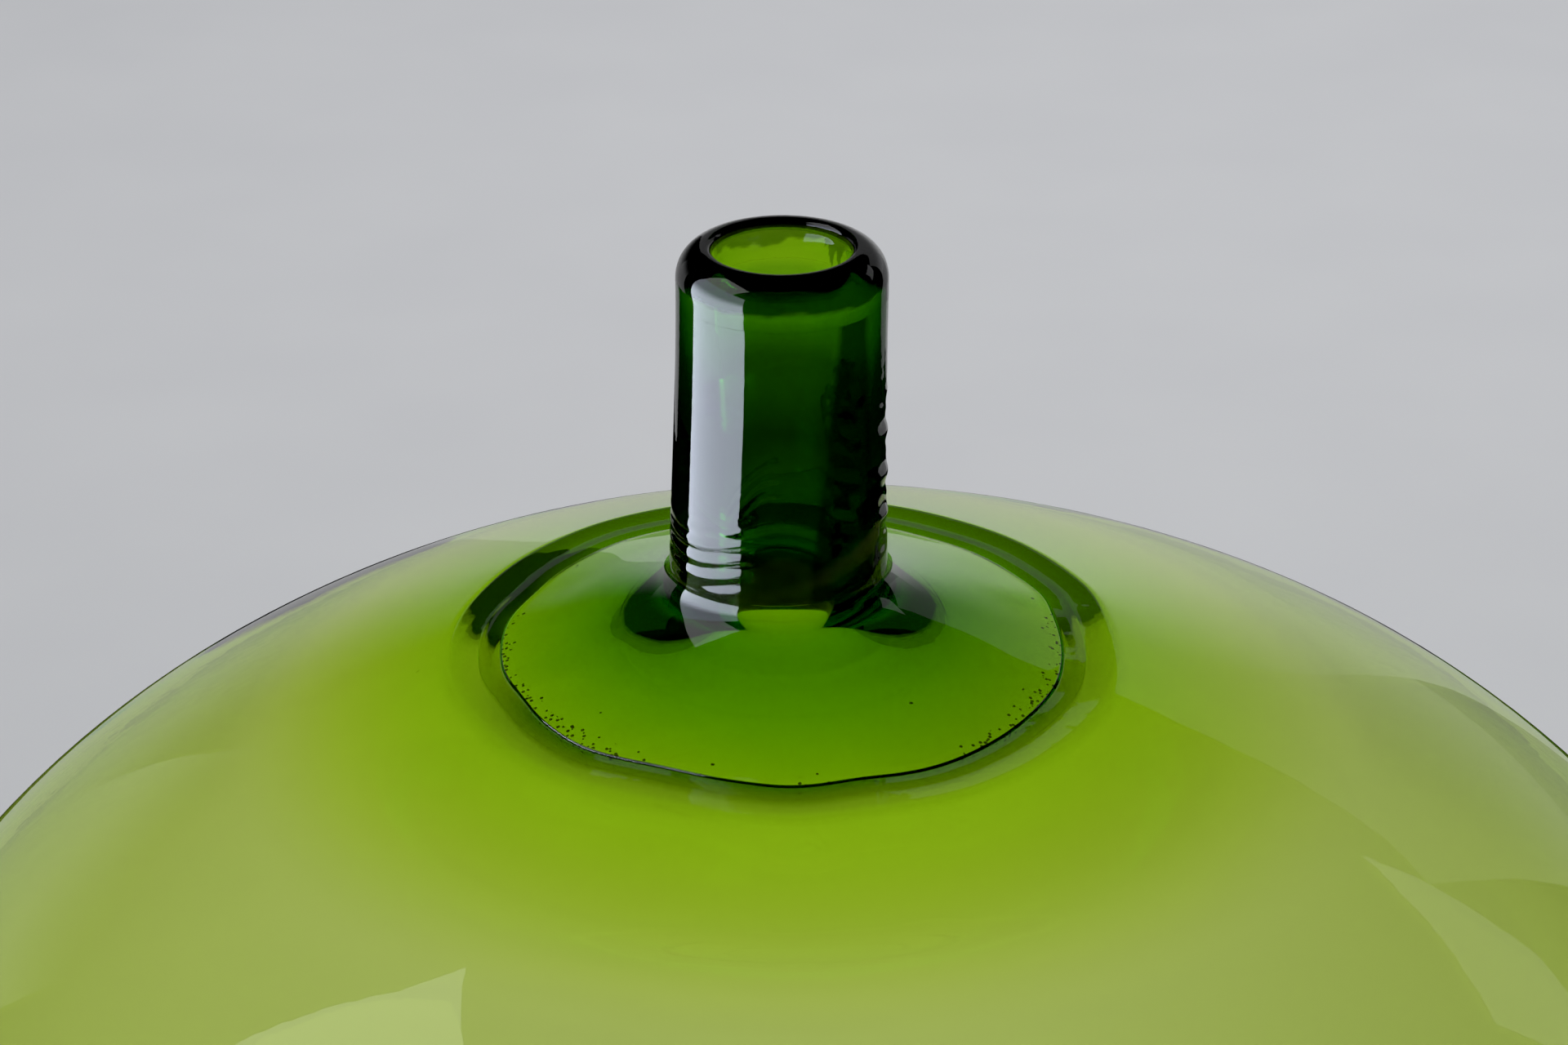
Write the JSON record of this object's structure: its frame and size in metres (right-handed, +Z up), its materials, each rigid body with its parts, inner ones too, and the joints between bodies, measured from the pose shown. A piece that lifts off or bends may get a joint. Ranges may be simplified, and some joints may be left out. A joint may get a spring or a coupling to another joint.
{
  "type": "glass vase",
  "caption": "Large round blown-glass vase in clear green, with a short dark stem, a raised pad round the stem, a folded lip and a ground foot.",
  "frame": {"origin": "centre of the ground foot, on the surface that the vase stands on", "axes": "+Z up along the vase, -Y towards the picture's camera, +X to its right"},
  "size_m": [0.33, 0.33, 0.367],
  "materials": {
    "bubble_glass": "fire polished, clear yellow-green",
    "pontil_glass": "ground, clear yellow-green",
    "bead_glass": "fire polished, mid green",
    "pad_glass": "fire polished, clear grass green",
    "stem_glass": "fire polished, deep bottle green",
    "lip_glass": "fire polished, deep bottle green"
  },
  "bodies": {
    "root": {"body_bubble": "bubble_glass", "pontil_pad": "pontil_glass", "crown_bead": "bead_glass", "stem_collar": "pad_glass", "stem_tube": "stem_glass", "rim_lip": "lip_glass"}
  },
  "joints": []
}
